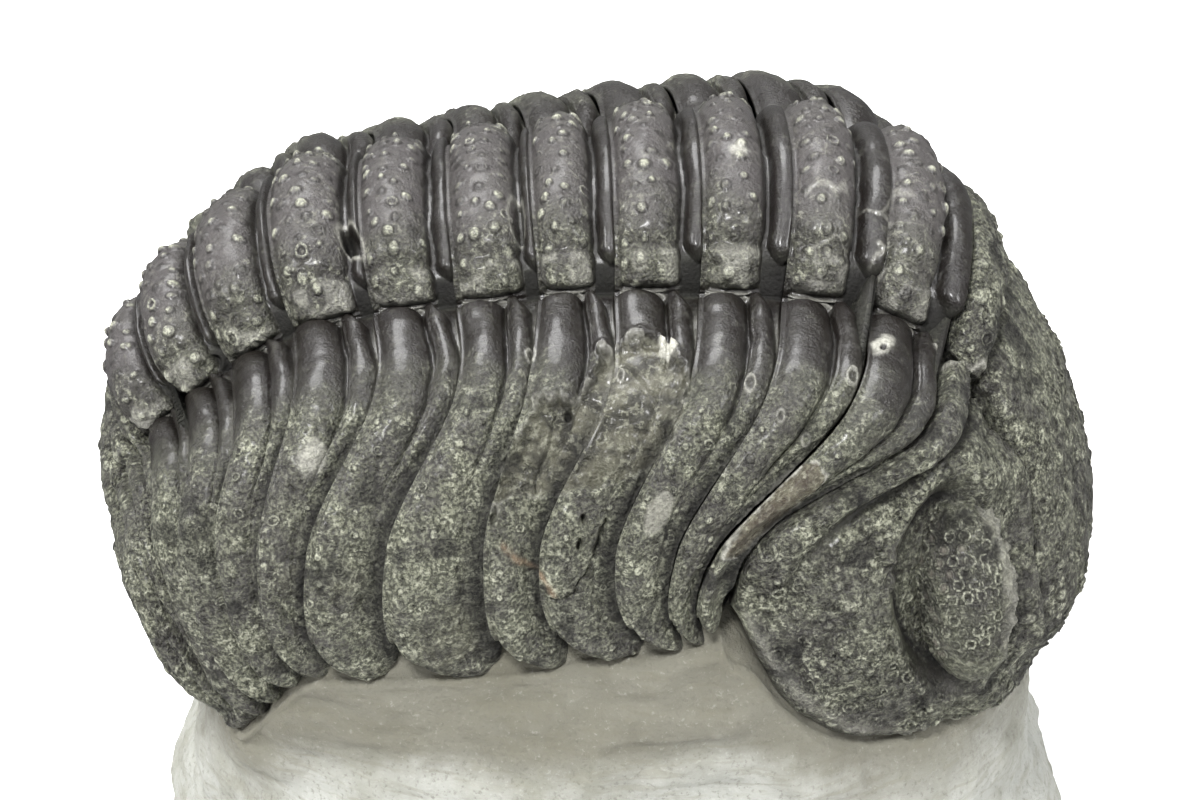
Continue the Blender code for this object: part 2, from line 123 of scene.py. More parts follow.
def skin(s, t):
    """Points of the smooth skin at stations s and signed places t (t < 0 is the -Y side)."""
    s, t = np.broadcast_arrays(np.atleast_1d(np.asarray(s, float)), np.asarray(t, float))
    g = curve_through(GUIDES[:, 0], GUIDES[:, 1:], s)
    crest = np.stack((g[:, 0], 0 * s, g[:, 1]), 1)
    furrow, fulcrum, flank, tip = (g[:, c:c + 3] for c in (2, 5, 8, 11))
    a = np.clip(np.abs(t) / T_FURROW, 0, 1)[:, None] * math.pi / 2
    foot = furrow * (1, 0, 1)
    axis = foot + (crest - foot) * np.cos(a) + (furrow - foot) * np.sin(a)
    stops = (T_FURROW, T_FULCRUM, T_FLANK, 1.0)
    line = (furrow, fulcrum, flank, tip)
    slopes = [(line[1] - line[0]) / (stops[1] - stops[0])]
    slopes += [(line[k + 1] - line[k - 1]) / (stops[k + 1] - stops[k - 1]) for k in (1, 2)]
    hook = TIP_HOOK * ease(s, -0.2, 0.8) * (1 - ease(s, 10.6, 11.4))
    slopes += [(line[3] - line[2] + np.stack((hook, 0 * s, 0 * s), 1)) / (stops[3] - stops[2])]
    rib = axis.copy()
    for k in range(3):
        span = stops[k + 1] - stops[k]
        f = np.clip((np.abs(t) - stops[k]) / span, 0, 1)[:, None]
        piece = (line[k] * (1 + 2 * f) * (1 - f) ** 2 + slopes[k] * span * f * (1 - f) ** 2
                 + line[k + 1] * f * f * (3 - 2 * f) - slopes[k + 1] * span * f * f * (1 - f))
        rib = np.where((np.abs(t) >= stops[k])[:, None], piece, rib)
    rib[:, 1] *= np.where(t < 0, -1, 1)
    return rib


def outward(s, t):
    """Unit normals of the smooth skin, pointing out of the body."""
    s = np.clip(s, S_HEAD + 0.12, S_TAIL - 0.12)
    t = np.clip(t, -0.985, 0.985)
    along = skin(s + 0.02, t) - skin(s - 0.02, t)
    across = skin(s, t + 0.012) - skin(s, t - 0.012)
    n = np.cross(across, along)
    return n / np.linalg.norm(n, axis=1)[:, None]


def placed(points):
    """From the skin's own zero to the frame of the finished piece, in metres."""
    return (points + (-MID_X, 0.0, BASE_DROP)) * MM


def seen_at(points):
    """Where the camera sees points of the skin, in pixels of the 1200 by 800 frame."""
    yaw, rise = math.radians(CAM_YAW), math.radians(CAM_ELEVATION)
    x, y, z = (points - CAM_TARGET).T
    right = x * math.cos(yaw) - y * math.sin(yaw)
    away = x * math.sin(yaw) + y * math.cos(yaw)
    depth = CAM_DISTANCE + away * math.cos(rise) - z * math.sin(rise)
    up = away * math.sin(rise) + z * math.cos(rise)
    return np.stack((600 + CAM_FOCUS * right / depth, 400 - CAM_FOCUS * up / depth), 1)


def grain(points, size, seed):
    """Smooth random values from -1 to 1 through space, in lumps of about this size."""
    q = points / size + seed * 17.31
    cell = np.floor(q).astype(np.int64)
    f = q - cell
    f = f * f * (3 - 2 * f)
    total = np.zeros(len(points))
    for corner in range(8):
        step = np.array([(corner >> k) & 1 for k in range(3)])
        share = np.prod(np.where(step, f, 1 - f), axis=1)
        key = (cell + step) @ np.array((73856093, 19349663, 83492791))
        key = (key ^ (key >> 13)) * 1274126177
        key = (key ^ (key >> 16)) & 0xFFFF
        total += share * (key / 32767.5 - 1)
    return total


def rough(points, size, seed, octaves=3):
    """Several sizes of grain added up, each half as large and half as strong."""
    return sum(grain(points, size / 2 ** k, seed + k) / 2 ** k for k in range(octaves))


# Marks that the fossil has on its -Y side, placed by where the camera sees them.
# Ovals: middle (u, v), half width, half height, turn in degrees clockwise
OVALS = {
    "ring_hole": (352, 243, 9, 20, -28),
    "scar_t6": (517, 219, 8, 23, -5),
    "crater_t10": (210, 366, 11, 11, 0),
    "pale_spot_t3": (738, 165, 10, 9, 0),
    "pale_patch_t8": (312, 457, 14, 21, 20),
    "pale_spot_t1": (880, 349, 10, 11, 0),
    "pit_t1": (881, 352, 3.2, 3.2, 0),
    "cream_oval_t3": (659, 511, 13, 26, 22),
    "worn_t7": (345, 583, 27, 33, 8),
    "worn_t8": (291, 583, 18, 22, 0),
    "worn_t6": (455, 635, 44, 36, -20),
    "infill_pit": (566, 412, 5, 6, 0),
    "slit_pit": (579, 546, 3.0, 8, 8),
    "slit_pit_2": (583, 518, 2.6, 5, 0),
    "tail_pit": (145, 436, 10, 11, 20),
    "flakes_t1": (888, 240, 28, 78, -8),
    "flakes_t2": (825, 225, 24, 72, -3),
    "scratched_t3": (675, 600, 18, 44, 18),
}
# Outlines with corners (u, v)
AREAS = {
    "infill": ((537, 404), (560, 398), (575, 405), (590, 378), (602, 352), (630, 340), (655, 338),
               (672, 352), (689, 378), (683, 405), (677, 430), (660, 455), (646, 470), (628, 478),
               (600, 486), (566, 488), (540, 500), (510, 494), (498, 508), (492, 520), (495, 492),
               (506, 462), (520, 430)),
    "long_plate_t1": ((802, 464), (815, 461), (826, 474), (820, 489), (790, 517), (757, 546),
                      (736, 563), (724, 556), (728, 541), (764, 500)),
    "chip": ((660, 338), (669, 338), (678, 348), (668, 356), (659, 350)),
}
# Cracks: half width, depth in millimetres, corners (u, v)
CRACKS = (
    (1.5, 0.30, ((607, 523), (600, 540), (594, 562), (583, 580), (575, 592), (560, 597),
                 (546, 594))),
    (1.2, 0.14, ((468, 531), (484, 533), (503, 534))),
    (1.3, 0.18, ((553, 404), (548, 440), (536, 478), (530, 505))),
    (1.2, 0.15, ((640, 478), (633, 500), (624, 518))),
)
# Beads in the channel beside the eye: middle (u, v), half width, half height
BEADS = ((900, 642, 10, 14), (898, 587, 8, 10), (904, 664, 6, 6), (892, 560, 10, 9),
         (880, 545, 7, 7))
# Small ring-shaped marks on the wedges and rings: middle (u, v), half width, half height
RINGED = ((750, 385, 6, 9), (852, 378, 6, 8), (806, 440, 5, 7), (531, 355, 5, 7),
          (780, 418, 4, 6), (722, 470, 4, 5), (620, 372, 4, 6))
# Lines with corners (u, v): a jagged pale edge behind the head, and a rusty seam
JAGGED_EDGE = ((934, 350), (942, 358), (950, 366), (958, 360), (966, 364), (976, 361), (986, 372))
RUST_SEAM = ((505, 545), (516, 560), (532, 570), (541, 574), (548, 583), (553, 590))


def oval(px, name):
    """Distance from an oval's middle: 0 there and 1 on its line."""
    u, v, wide, tall, turn = OVALS[name]
    c, d = math.cos(math.radians(turn)), math.sin(math.radians(turn))
    x, y = px[:, 0] - u, px[:, 1] - v
    return np.hypot((x * c + y * d) / wide, (y * c - x * d) / tall)


def line_distance(px, corners):
    """Distance in pixels from the nearest point of a line with corners."""
    best = np.full(len(px), 1e9)
    for a, b in zip(np.array(corners, float), np.array(corners[1:], float)):
        f = np.clip((px - a) @ (b - a) / ((b - a) @ (b - a)), 0, 1)
        best = np.minimum(best, np.linalg.norm(px - a - f[:, None] * (b - a), axis=1))
    return best


def area_depth(px, name):
    """Distance in pixels from an area's outline, positive inside it."""
    corners = AREAS[name] + AREAS[name][:1]
    inside = np.zeros(len(px), bool)
    for (ua, va), (ub, vb) in zip(corners, corners[1:]):
        crosses = (va > px[:, 1]) != (vb > px[:, 1])
        at = ua + (px[:, 1] - va) * (ub - ua) / (vb - va if vb != va else 1e-9)
        inside ^= crosses & (px[:, 0] < at)
    return np.where(inside, 1, -1) * line_distance(px, corners)


class Spots:
    """Tubercles scattered over a part of the skin, none closer than its spacing."""

    def __init__(self, seed, s_range, t_range, spacing, radius, ringed):
        rng = np.random.default_rng(seed)
        count = int(150 * (s_range[1] - s_range[0]) * (t_range[1] - t_range[0]) / spacing ** 2)
        points = skin(rng.uniform(*s_range, count * 5), rng.uniform(*t_range, count * 5))
        chosen = np.zeros((0, 3))
        for point in points:
            if len(chosen) < count and not (
                    np.sum((chosen - point) ** 2, axis=1) < spacing ** 2).any():
                chosen = np.vstack((chosen, point))
        self.radius = rng.uniform(*radius, len(chosen))
        self.strength = rng.uniform(0.3, 1.1, len(chosen))
        self.ringed = rng.uniform(0, 1, len(chosen)) < ringed
        self.tree = KDTree(len(chosen))
        for k, point in enumerate(chosen):
            self.tree.insert(point, k)
        self.tree.balance()

    def height(self, points):
        """How high the spots stand at points: domes, and craters with a raised ring."""
        warped = points + 0.05 * np.stack([grain(points, 0.35, 90 + k) for k in range(3)], 1)
        found = [self.tree.find(p)[1:] for p in warped]
        index = np.array([f[0] for f in found])
        share = np.array([f[1] for f in found]) / self.radius[index]
        dome = np.clip(1 - share ** 2, 0, 1) ** 0.9
        crater = 0.9 * bell(share, 0.75, 0.22) * (share < 1.4)
        return np.where(self.ringed[index], crater, dome) * self.strength[index]


def thorax_relief(number, s, t, u):
    """Height of one plate's ring and ribs above the smooth skin."""
    reach = np.abs(t)
    a = reach / T_FURROW
    size = 1 - 0.25 * ease(s, 8.0, 11.0)
    # The axial ring, lower towards its ends, with a waist before its end lobe
    waist = bell(a, 0.645, 0.045)
    front = RING_FRONT[number - 1] + 0.03 * waist - 0.03 * ease(a, 0.80, 0.88)
    narrow = np.sqrt(1 - np.clip((a - 0.82) / 0.13, 0, 0.97) ** 2)
    narrow = 0.45 + 0.55 * np.where(a > 0.945, 1, narrow)
    middle = (front + 1.04) / 2
    ring = RING_RISE * hump(middle + (u - middle) / narrow, front, 1.04, 2.3)
    ring *= (1 - 0.42 * ease(a, 0.50, 0.84)) * (1 - 0.72 * ease(a, 0.84, 0.94))
    ring *= 1 - 0.16 * waist
    swell = ease(a, 0.64, 0.73) * (1 - ease(a, 0.87, 0.94))
    ring += 0.28 * hump(middle + (u - middle) / narrow, front, 1.0) * swell
    # The smooth half ring in front of it, ending in a round tip above a pit
    ending = np.sqrt(np.clip(1 - np.clip((a - 0.52) / 0.24, 0, 1) ** 2, 0.0004, 1))
    middle = front / 2 - 0.055
    half = HALF_RING_RISE * hump(middle + (u - middle) / ending, -0.06, front - 0.05, 2.3)
    half = half - 0.75 * bell(u, front - 0.01, 0.035) - 1.25 * ease(a, 0.66, 0.84)
    axis = np.where(u > front, ring, half)
    # The rib's inner part: a thick rear band, and a wedge in front that widens outwards
    long_way = np.linalg.norm(skin(s + 0.3, t) - skin(s - 0.3, t), axis=1) / 0.6
    slim = np.clip(long_way / 3.2, 0.3, 1) ** 0.55
    split = 0.46 - 0.06 * ease(reach, T_FURROW, 0.50)
    open_up = ease(reach, T_FURROW + 0.010, T_FURROW + 0.022)
    wide = 0.12 + 0.19 * ease(reach, T_FURROW, 0.34) + 0.03 * ease(reach, 0.36, 0.47)
    left = split - wide
    band = BAND_RISE * hump(u, split + 0.01, 1.07, 2.1) * (0.1 + 0.9 * ease(reach, 0.304, 0.324))
    wedge = 0.72 * hump(u, left, split - 0.005, 2.1) * open_up
    wedge += 0.12 * bell(u, split - 0.035, 0.012) * open_up
    flange = -0.30 + 0.38 * bell(u, 0.078, 0.028) * open_up - 0.35 * bell(u, left, 0.03)
    wedge = np.where(u < left, flange, wedge) - 0.75 * (1 - open_up)
    inner = np.where(u > split, band, wedge) - 0.45 * bell(u, split, 0.018)
    # Further out both merge into one blade that rises towards its rear edge
    fused = ease(reach, 0.52, 0.72)
    shingle = -0.90 + 1.20 * ease(u, 0.06, 0.45) + 0.60 * ease(u, 0.35, 0.85)
    shingle += 0.26 * bell(u, 0.08, 0.03) - 0.30 * ease(u, 0.93, 1.02)
    rib = inner * (1 - fused) + shingle * fused
    rim = (0.18 + 0.16 * fused) * ease(u, 0.955, 0.975)
    rib = np.maximum(rib, rim) * slim
    high = np.where(reach < T_FURROW, np.maximum(axis, 1.15 * rim * (a < 0.95)), rib)
    # Two thin welts where the ring's end meets the rib
    collar = bell(reach, T_FURROW - 0.010, 0.004) + bell(reach, T_FURROW + 0.007, 0.004)
    collar -= 0.7 * bell(reach, T_FURROW - 0.002, 0.004) + bell(reach, T_FURROW + 0.016, 0.004)
    high = high + 0.34 * collar * hump(u, np.maximum(front, split) - 0.02, 1.02)
    high *= 1 - (1 - size) * (1 - ease(reach, 0.45, 0.60))
    return high - (high + 0.40) * (1 - ease(u, 0.015, 0.06))


def tip_round(reach, radius_share=0.055):
    """How deep the surface has turned in at a rib's rounded end, from 0 to 1."""
    q = np.clip((reach - (1 - radius_share)) / radius_share, 0, 1)
    return 1 - np.sqrt(np.clip(1 - q * q, 0, 1))


def even_places(s, step):
    """Places t from tip to tip that lie the same distance apart on the skin."""
    dense = np.linspace(-1, 1, 1601)
    points = skin(s + 0 * dense, dense)
    length = np.concatenate(((0,), np.cumsum(np.linalg.norm(np.diff(points, axis=0), axis=1))))
    count = int(length[-1] / step) | 1
    return np.interp(np.linspace(0, length[-1], count), length, dense)


def marks(px, near_side, points):
    """Damage and stains on the camera's side.

    Gives the height change, three colour shares, and where the stone-filled patch lies.
    """
    jitter = 3.0 * grain(points, 0.60, 5) + 1.8 * grain(points, 0.22, 6)
    lift = np.zeros(len(px))
    pale = np.zeros(len(px))
    infill = np.zeros(len(px))
    rust = np.zeros(len(px))
    # Hole, scar, craters and pale spots of single rings and ribs
    d = oval(px, "ring_hole") + 0.03 * jitter
    lift -= 1.1 * (1 - ease(d, 0.72, 1.0))
    pale += 0.5 * bell(d, 1.12, 0.12)
    d = oval(px, "scar_t6") + 0.04 * jitter
    lift -= 0.22 * (1 - ease(d, 0.85, 1.0))
    pale += 0.5 * bell(d, 1.02, 0.10)
    for name, depth in (("crater_t10", 0.30), ("tail_pit", 0.8)):
        d = oval(px, name) + 0.02 * jitter
        lift += 0.14 * bell(d, 1.05, 0.22) - depth * (1 - ease(d, 0.4, 0.95))
    for name, strength in (("pale_spot_t3", 0.65), ("pale_patch_t8", 0.65), ("pale_spot_t1", 0.9)):
        d = oval(px, name) + 0.06 * jitter
        pale += strength * (1 - ease(d, 0.5, 1.15))
    d = oval(px, "pit_t1")
    lift -= 0.35 * (1 - ease(d, 0.5, 1.1))
    pale -= 1.0 * (1 - ease(d, 0.8, 1.3))
    d = oval(px, "cream_oval_t3") + 0.04 * jitter
    pale += 0.45 * (1 - ease(d, 0.75, 1.05))
    infill += 0.9 * (1 - ease(d, 0.7, 1.1))
    lift += 0.06 * bell(d, 1.05, 0.12) - 0.05 * (1 - ease(d, 0.8, 1.0))
    # Worn places near the rib tips, and small pits
    for name, height in (("worn_t7", 0.16), ("worn_t8", 0.14)):
        d = oval(px, name) + 0.04 * jitter
        lift += height * (1 - ease(d, 0.3, 1.0)) - 0.12 * bell(d, 1.04, 0.10)
        infill += 0.35 * (1 - ease(d, 0.4, 1.0))
    d = oval(px, "worn_t6") + 0.05 * jitter
    infill += 0.45 * (1 - ease(d, 0.6, 1.1))
    lift += 0.06 * rough(points, 0.7, 31) * (1 - ease(d, 0.7, 1.1))
    for name in ("infill_pit", "slit_pit", "slit_pit_2"):
        lift -= 0.55 * (1 - ease(oval(px, name) + 0.03 * jitter, 0.6, 1.1))
    # The patch where the shell is gone and stone fills the ribs
    d = area_depth(px, "infill") + 1.6 * jitter
    flat = ease(d, -3.0, 5.0) * near_side
    infill = np.maximum(infill, flat)
    facets = 0.30 * rough(points, 1.5, 41) + 0.14 * np.abs(grain(points, 0.7, 43))
    lift += (facets - 0.12) * flat + 0.09 * bell(d, -3.0, 3.0)
    pale += 0.30 * bell(d, -1.5, 2.0) * (grain(points, 0.5, 44) > 0)
    # The long brownish splinter on the first rib, and the bright chip
    d = area_depth(px, "long_plate_t1") + 0.9 * jitter
    lift += 0.09 * ease(d, -1.0, 1.5)
    infill += 0.55 * ease(d, -1.0, 2.5)
    rust += 0.14 * ease(d, -1.0, 2.5)
    pale += 0.90 * bell(d, 0.0, 1.6) * (grain(points, 0.5, 45) > -0.5)
    d = area_depth(px, "chip") + 0.4 * jitter
    lift += 0.30 * ease(d, -1.0, 3.0)
    pale += 1.0 * ease(d, -1.0, 1.0)
    # Cracks, the rusty seam and the jagged pale edge behind the head
    for half_width, depth, corners in CRACKS:
        d = line_distance(px + 0.8 * jitter[:, None], corners)
        lift += 0.05 * bell(d, 2.2 * half_width, half_width) - depth * bell(d, 0, half_width)
    d = line_distance(px + 0.9 * jitter[:, None], RUST_SEAM)
    rust += bell(d, 0, 3.0) * (0.5 + 0.5 * grain(points, 0.3, 46))
    lift += 0.10 * bell(d, 0, 3.0)
    d = line_distance(px + 0.8 * jitter[:, None], JAGGED_EDGE)
    lift += 0.16 * bell(d, 0, 3.0)
    pale += 0.9 * bell(d, 0, 2.2)
    # Flaking skin, scratches, ring-shaped marks and the beads beside the eye
    for name in ("flakes_t1", "flakes_t2"):
        zone = 1 - ease(oval(px, name), 0.7, 1.1)
        flake = grain(points, 1.1, 52) + 0.3 * grain(points, 0.4, 53)
        lift += 0.10 * zone * ease(flake, 0.02, 0.10)
        pale += 0.35 * zone * bell(flake, 0.08, 0.07)
    zone = 1 - ease(oval(px, "scratched_t3"), 0.7, 1.1)
    lift += 0.05 * zone * np.sin((px[:, 0] * 0.85 + px[:, 1] * 0.5) / 1.3)
    for u, v, wide, tall in RINGED:
        d = np.hypot((px[:, 0] - u) / wide, (px[:, 1] - v) / tall) + 0.04 * jitter
        lift += 0.10 * bell(d, 0.9, 0.22)
        pale += 0.55 * bell(d, 0.9, 0.20)
    for u, v, wide, tall in BEADS:
        d = np.hypot((px[:, 0] - u) / wide, (px[:, 1] - v) / tall) + 0.03 * jitter
        lift += 0.30 * np.clip(1 - d ** 2, 0, 1) ** 0.7 - 0.14 * bell(d, 1.15, 0.14)
    return lift * near_side, pale * near_side, infill * near_side, rust * near_side, flat


def over_grid(rows, t_line):
    """For each point of a plate: place along the body, drop, whether in front, place across."""
    along, drop, front = (np.repeat(np.array([row[k] for row in rows]), len(t_line))
                          for k in range(3))
    return along, drop, front, np.tile(t_line, len(rows))


def raised(base, normal, front, drop, relief, turn_in):
    """Points of a plate: the skin with the relief on its front, and its back set in."""
    height = np.where(front, relief + drop, drop) - TIP_TURN * turn_in * front
    height = np.where(front, np.maximum(height, THIN - SHELL), height)
    return base + normal * height[:, None]


def write_shares(piece, shares):
    """Keep the colour shares of a piece's points as attributes that its finish reads."""
    for share, values in shares.items():
        layer = piece.data.attributes.new(share, "FLOAT", "POINT")
        layer.data.foreach_set("value", values.astype(np.float32))


def shape_grid(name, columns, rows, points, shares):
    """A grid primitive bent into a closed plate, with its colour shares as attributes.

    The grid's first and last row meet behind the plate, and the open ends are filled.
    """
    bpy.ops.object.select_all(action="DESELECT")
    bpy.ops.mesh.primitive_grid_add(x_subdivisions=columns - 1, y_subdivisions=rows - 1,
                                    size=1.0)
    piece = bpy.context.object
    piece.name = piece.data.name = name
    piece.data.vertices.foreach_set("co", placed(points).astype(np.float32).ravel())
    write_shares(piece, shares)
    bpy.ops.object.mode_set(mode="EDIT")
    bpy.ops.mesh.select_all(action="SELECT")
    bpy.ops.mesh.remove_doubles(threshold=SAME_PLACE)
    bpy.ops.mesh.select_all(action="DESELECT")
    bpy.ops.mesh.select_non_manifold()
    bpy.ops.mesh.fill_holes(sides=0)
    bpy.ops.mesh.select_all(action="SELECT")
    bpy.ops.mesh.normals_make_consistent(inside=False)
    bpy.ops.object.mode_set(mode="OBJECT")
    bpy.ops.object.shade_smooth()
    return piece


def finish_piece(piece, material, slot, *nodes):
    """Give a piece its material, and let it stand in for its solids. The slot is not used."""
    piece.data.materials.clear()
    piece.data.materials.append(material)
    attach(piece, "root")
    if nodes:
        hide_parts(*nodes)


def body_plate(number, material):
    """One thoracic plate: axial ring, half ring and both ribs, with its rear rim lapping."""
    first = number - 1.0
    t_line = even_places(first + 0.5, MESH_STEP)
    rear = 1 + LAP
    u_front = np.concatenate((np.linspace(0.02, 0.19, 12), np.linspace(0.205, 0.44, 19),
                              np.linspace(0.46, 0.93, 26), np.linspace(0.945, rear, 7)))
    rows = [(u, 0.0, True) for u in u_front]
    rows += [(rear + 0.008, -0.08, True), (rear + 0.004, -0.17, True)]
    rows += [(rear - 0.02, -0.22, True), (0.985, -0.27, True)]
    rows += [(0.965, -SHELL, False), (0.5, -SHELL, False), (0.06, -SHELL, False)]
    rows += [(0.03, -0.75, False), (0.03, 0.0, True)]
    u, drop, front, t = over_grid(rows, t_line)
    s = first + u
    reach = np.abs(t)
    corner = 0.075 * np.abs(2 * np.clip(u, 0, 1) - 1) ** 2.4 * ease(reach, 0.78, 1.0)
    t = t * (1 - corner)
    base = skin(s, t)
    normal = outward(s, t)
    px = seen_at(base + 0.5 * normal)
    wobble = 0.030 * grain(base, 2.6, 3) + 0.014 * grain(base, 0.9, 4)
    relief = thorax_relief(number, s, t, np.clip(u, 0, 1) + wobble * hump(u, 0, 1))
    live = front * (1 - ease(u, 0.97, 1.0))
    relief += 0.08 * grain(base, 2.2, 8) + 0.05 * grain(base, 0.8, 9) * live
    on_ring = 1 - ease(reach, 0.90 * T_FURROW, 0.94 * T_FURROW)
    on_ring = on_ring * ease(u, RING_FRONT[number - 1], RING_FRONT[number - 1] + 0.06)
    outer = ease(reach + 0.05 * grain(base, 1.5, 14), 0.44, 0.62)
    lower = ease(reach / T_FURROW + 0.14 * grain(base, 1.6, 15), 0.25, 0.68)
    granular = np.clip((0.15 + 0.45 * lower) * on_ring + 0.8 * outer, 0, 1)
    ring_spots = Spots(200 + number, (first + 0.30, first + 0.97), (-0.30, 0.30), 0.74,
                       (0.20, 0.36), 0.12)
    rib_spots = Spots(240 + number, (first + 0.1, first + 0.97), (-0.99, 0.99), 0.95,
                      (0.14, 0.26), 0.4)
    knob = (ring_spots.height(base) * on_ring + rib_spots.height(base) * outer) * live
    relief += (0.12 + 0.15 * on_ring) * knob
    lumps = rough(base, 1.3, 19)
    relief += 0.10 * lumps * outer * live
    node = on_ring * ease(reach / T_FURROW, 0.64, 0.70) * live
    relief += 0.07 * rough(base, 0.5, 17) * node
    lift, pale, infill, rust, flat = marks(px, (t < 0.2) * front, base)
    relief = relief * (1 - 0.75 * flat) + lift * live
    relief += 0.05 * rough(base, 0.40, 12, 2) * granular * live
    # Painted highlight: a pale strip along each rib's front flange.
    flange = bell(u, 0.075, 0.035) * ease(reach, T_FURROW + 0.02, T_FURROW + 0.08) * front
    collar = bell(reach, T_FURROW - 0.010, 0.005) + bell(reach, T_FURROW + 0.007, 0.005)
    collar *= ease(u, 0.42, 0.47) * live
    pale = pale + 0.20 * flange + 0.30 * node * ease(grain(base, 0.7, 18), -0.1, 0.3)
    pale += 0.45 * collar
    # Painted shade: recesses, the pits at the half ring's ends, the front flank of each outer rib and
    # the low places between lumps get a darker colour.
    pit = (u < RING_FRONT[number - 1]) * ease(reach, 0.66 * T_FURROW, 0.78 * T_FURROW)
    pit *= 1 - ease(reach, T_FURROW + 0.004, T_FURROW + 0.014)
    flank = 0.90 * ease(reach, 0.50, 0.66) * (1 - ease(u, 0.12, 0.36))
    crevice_shade = 0.7 * ease(-lumps, 0.35, 0.9) * outer
    painted_hollow_shade = np.clip(-relief / 0.6, 0, 1)
    painted_hollow_shade = np.maximum(np.maximum(painted_hollow_shade, pit), np.maximum(flank, crevice_shade)) * front
    gloss = (1 - outer) * np.clip(1 - 0.6 * on_ring, 0, 1) * (1 - painted_hollow_shade)
    gloss *= 1 - 0.7 * node
    points = raised(base, normal, front, drop, relief, tip_round(reach))
    # The sheen share is painted sheen: the upper part of each ring gets a lighter colour.
    shares = {"knob": knob, "pale": pale, "infill": infill, "rust": rust, "gloss": gloss,
              "sheen": on_ring * (1 - 0.75 * lower), "granular": granular, "painted_hollow_shade": painted_hollow_shade}
    piece = shape_grid(f"shell_segment_{number:02d}", len(t_line), len(rows), points, shares)
    finish_piece(piece, material, "fossil_shell", f"thoracic_segment_{number:02d}")


def head_relief(s, t):
    """Height of the glabella, neck ring, borders and cheeks above the smooth skin."""
    reach = np.abs(t)
    a = reach / T_FURROW
    neck_ring = 1.05 * hump(s, -0.72, 0.06, 2.8) * (1 - 0.7 * ease(a, 0.93, 1.0))
    neck_ring -= 0.15 * bell(a, 0.74, 0.04) * hump(s, -0.72, 0.0)
    neck_ring += 0.18 * hump(s, -0.72, 0.0) * hump(a, 0.76, 1.0)
    step = 1 - ease(-s, 1.9, 2.7)
    swell = 0.90 * hump(s, -4.3, -0.86, 3.4) * (1 - 0.8 * ease(-s, 2.6, 3.5))
    glabella = swell * (1 - step * ease(a, 0.84, 1.0)) - 0.20 * ease(a, 0.88, 1) * step
    side_node = 0.55 * bell(s, -0.86, 0.10) * bell(a, 0.93, 0.10)
    axis = np.where(s > -0.74, neck_ring, glabella) - 0.45 * bell(s, -0.76, 0.035) + side_node
    border = 0.80 * hump(s, -0.60, 0.06, 2.6) * (1 - ease(reach, 0.76, 0.95))
    border = (border + 0.5) * ease(reach, 0.322, 0.340) - 0.5
    furrow = -0.42 * bell(s, -0.72, 0.11) * (1 - ease(reach, 0.64, 0.84))
    cheek = 0.35 * ease(reach, 0.60, 0.80) * (1 - ease(reach, 0.90, 1.0)) * ease(-s, 0.3, 1.4)
    edge = 0.18 * bell(reach, 0.955, 0.018) * ease(-s, 0.0, 0.3)
    side = border + furrow + cheek + edge
    side -= 0.35 * bell(reach, T_FURROW, 0.016) * ease(-s, 0.6, 0.9) * step
    side += swell * (1 - step) * (1 - ease(reach, T_FURROW, 0.56))
    side += 0.80 * bell(reach, 0.36, 0.055) * hump(s, -3.3, -1.2) * (reach > T_FURROW + 0.002)
    return np.where(reach < T_FURROW, axis, side)


def tail_relief(s, t):
    """Height of the tail's rings and ribs above the smooth skin."""
    reach = np.abs(t)
    u = (s - RINGS) * TAIL_RINGS_PER_STATION
    fade = 1 - ease(s, 11.9, 12.7)
    u = u - np.floor(u)
    a = reach / T_FURROW
    ring = (0.72 * hump(u, 0.14, 1.0, 2.4) - 0.12) * (1 - ease(a, 0.82, 1.0))
    rib = (1.05 * hump(u, 0.14, 1.0, 2.2) - 0.40) * (1 - ease(reach, 0.86, 0.98))
    groove = -0.12 * bell(u, 0.55, 0.06) * ease(reach, 0.36, 0.45) * (1 - ease(reach, 0.7, 0.9))
    return fade * np.where(reach < T_FURROW, ring, rib + groove)


# The eyes: middle on the -Y side, half sizes along, out and up, and turns about X and Z
EYE_MIDDLE = (17.1, 13.7, -12.9)
EYE_HALF = (2.35, 3.1, 4.70)
EYE_TURN_X, EYE_TURN_Z = -24.0, 14.0
LENS_PITCH = 0.66
LENS_RADIUS = 0.29
EYE_SEGMENTS, EYE_BANDS = 190, 120


def eye_share(points):
    """Distance from the nearer eye's axis: 1 on the outline where the eye leaves the cheek."""
    q = points * (1, 0, 1) + np.abs(points) * (0, 1, 0) - EYE_MIDDLE
    turn_x, turn_z = math.radians(EYE_TURN_X), math.radians(EYE_TURN_Z)
    x = q[:, 0] * math.cos(turn_z) + q[:, 1] * math.sin(turn_z)
    out = q[:, 1] * math.cos(turn_z) - q[:, 0] * math.sin(turn_z)
    z = q[:, 2] * math.cos(turn_x) + out * math.sin(turn_x)
    return np.hypot(x / EYE_HALF[0], z / EYE_HALF[2])


